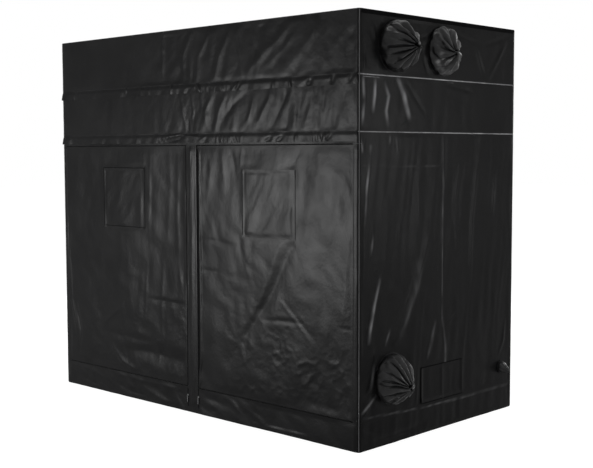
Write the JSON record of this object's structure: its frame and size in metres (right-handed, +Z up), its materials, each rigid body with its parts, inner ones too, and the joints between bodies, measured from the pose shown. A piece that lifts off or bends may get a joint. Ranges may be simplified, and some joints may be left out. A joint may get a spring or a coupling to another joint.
{
  "type": "indoor grow tent",
  "caption": "Walk-in indoor grow tent: black cloth shell on a steel pole frame, with zipped front doors, windows, storm flaps, mesh vents and gathered duct ports.",
  "frame": {"origin": "middle of the floor sheet's underside, on the ground", "axes": "+X along the long side, -Y towards the doors, +Z up"},
  "size_m": [3.0436, 1.5366, 2.413],
  "materials": {
    "canvas": "black coated canvas",
    "frame_steel": "white powder coat",
    "tray_sheet": "grey sheet",
    "window_film": "tinted clear film",
    "vent_mesh": "fine black mesh",
    "zip_metal": "dark metal"
  },
  "bodies": {
    "root": {"canopy_front": "canvas", "canopy_left": "canvas", "canopy_rear": "canvas", "canopy_right": "canvas", "centre_strip": "canvas", "extension_front": "canvas", "extension_left": "canvas", "extension_rear": "canvas", "extension_right": "canvas", "floor_sheet": "canvas", "front_floor_rail": "frame_steel", "front_skirt": "canvas", "front_top_rail": "frame_steel", "header_strip": "canvas", "left_cable_sock": "canvas", "left_corner_strip": "canvas", "left_floor_rail": "frame_steel", "left_front_duct_sock": "canvas", "left_front_post": "frame_steel", "left_hanging_bar": "frame_steel", "left_low_duct_sock": "canvas", "left_middle_duct_sock": "canvas", "left_rear_post": "frame_steel", "left_top_rail": "frame_steel", "left_vent_mesh": "vent_mesh", "left_wall": "canvas", "lower_storm_flap": "canvas", "middle_front_post": "frame_steel", "middle_rear_post": "frame_steel", "middle_top_rail": "frame_steel", "rear_floor_rail": "frame_steel", "rear_top_rail": "frame_steel", "rear_wall": "canvas", "right_cable_sock": "canvas", "right_corner_strip": "canvas", "right_floor_rail": "frame_steel", "right_front_duct_sock": "canvas", "right_front_post": "frame_steel", "right_hanging_bar": "frame_steel", "right_low_duct_sock": "canvas", "right_middle_duct_sock": "canvas", "right_rear_post": "frame_steel", "right_top_rail": "frame_steel", "right_vent_mesh": "vent_mesh", "right_wall": "canvas", "roof_panel": "canvas", "spill_tray": "tray_sheet", "upper_storm_flap": "canvas"},
    "left_door": {"left_door": "canvas", "left_window": "window_film"},
    "left_window_flap": {"left_window_flap": "canvas"},
    "left_slider": {"left_slider": "zip_metal"},
    "left_pull": {"left_pull": "zip_metal"},
    "left_vent_flap": {"left_vent_flap": "canvas"},
    "right_door": {"right_door": "canvas", "right_window": "window_film"},
    "right_window_flap": {"right_window_flap": "canvas"},
    "right_slider": {"right_slider": "zip_metal"},
    "right_pull": {"right_pull": "zip_metal"},
    "right_vent_flap": {"right_vent_flap": "canvas"}
  },
  "joints": [
    {"name": "left_door_hinge", "type": "hinge", "parent": "root", "child": "left_door", "pos_m": [-1.3265, -0.762, 0.9], "axis": [0, 0, 1], "range_deg": [-150, 0]},
    {"name": "left_window_flap_hinge", "type": "hinge", "parent": "left_door", "child": "left_window_flap", "pos_m": [-0.68, -0.7645, 1.143], "axis": [1, 0, 0], "range_deg": [0, 170]},
    {"name": "left_slider_slide", "type": "slide", "parent": "root", "child": "left_slider", "axis": [0, 0, 1], "range_m": [0, 1.573]},
    {"name": "left_pull_hinge", "type": "hinge", "parent": "left_slider", "child": "left_pull", "pos_m": [-0.05, -0.7675, 0.1], "axis": [-1, 0, 0], "range_deg": [0, 160]},
    {"name": "left_vent_flap_hinge", "type": "hinge", "parent": "root", "child": "left_vent_flap", "pos_m": [-1.373, 0, 0.39], "axis": [0, 1, 0], "range_deg": [0, 170]},
    {"name": "right_door_hinge", "type": "hinge", "parent": "root", "child": "right_door", "pos_m": [1.3265, -0.762, 0.9], "axis": [0, 0, 1], "range_deg": [0, 150]},
    {"name": "right_window_flap_hinge", "type": "hinge", "parent": "right_door", "child": "right_window_flap", "pos_m": [0.68, -0.7645, 1.143], "axis": [1, 0, 0], "range_deg": [0, 170]},
    {"name": "right_slider_slide", "type": "slide", "parent": "root", "child": "right_slider", "axis": [0, 0, 1], "range_m": [0, 1.573]},
    {"name": "right_pull_hinge", "type": "hinge", "parent": "right_slider", "child": "right_pull", "pos_m": [0.05, -0.7675, 0.1], "axis": [-1, 0, 0], "range_deg": [0, 160]},
    {"name": "right_vent_flap_hinge", "type": "hinge", "parent": "root", "child": "right_vent_flap", "pos_m": [1.373, 0, 0.39], "axis": [0, -1, 0], "range_deg": [0, 170]}
  ]
}
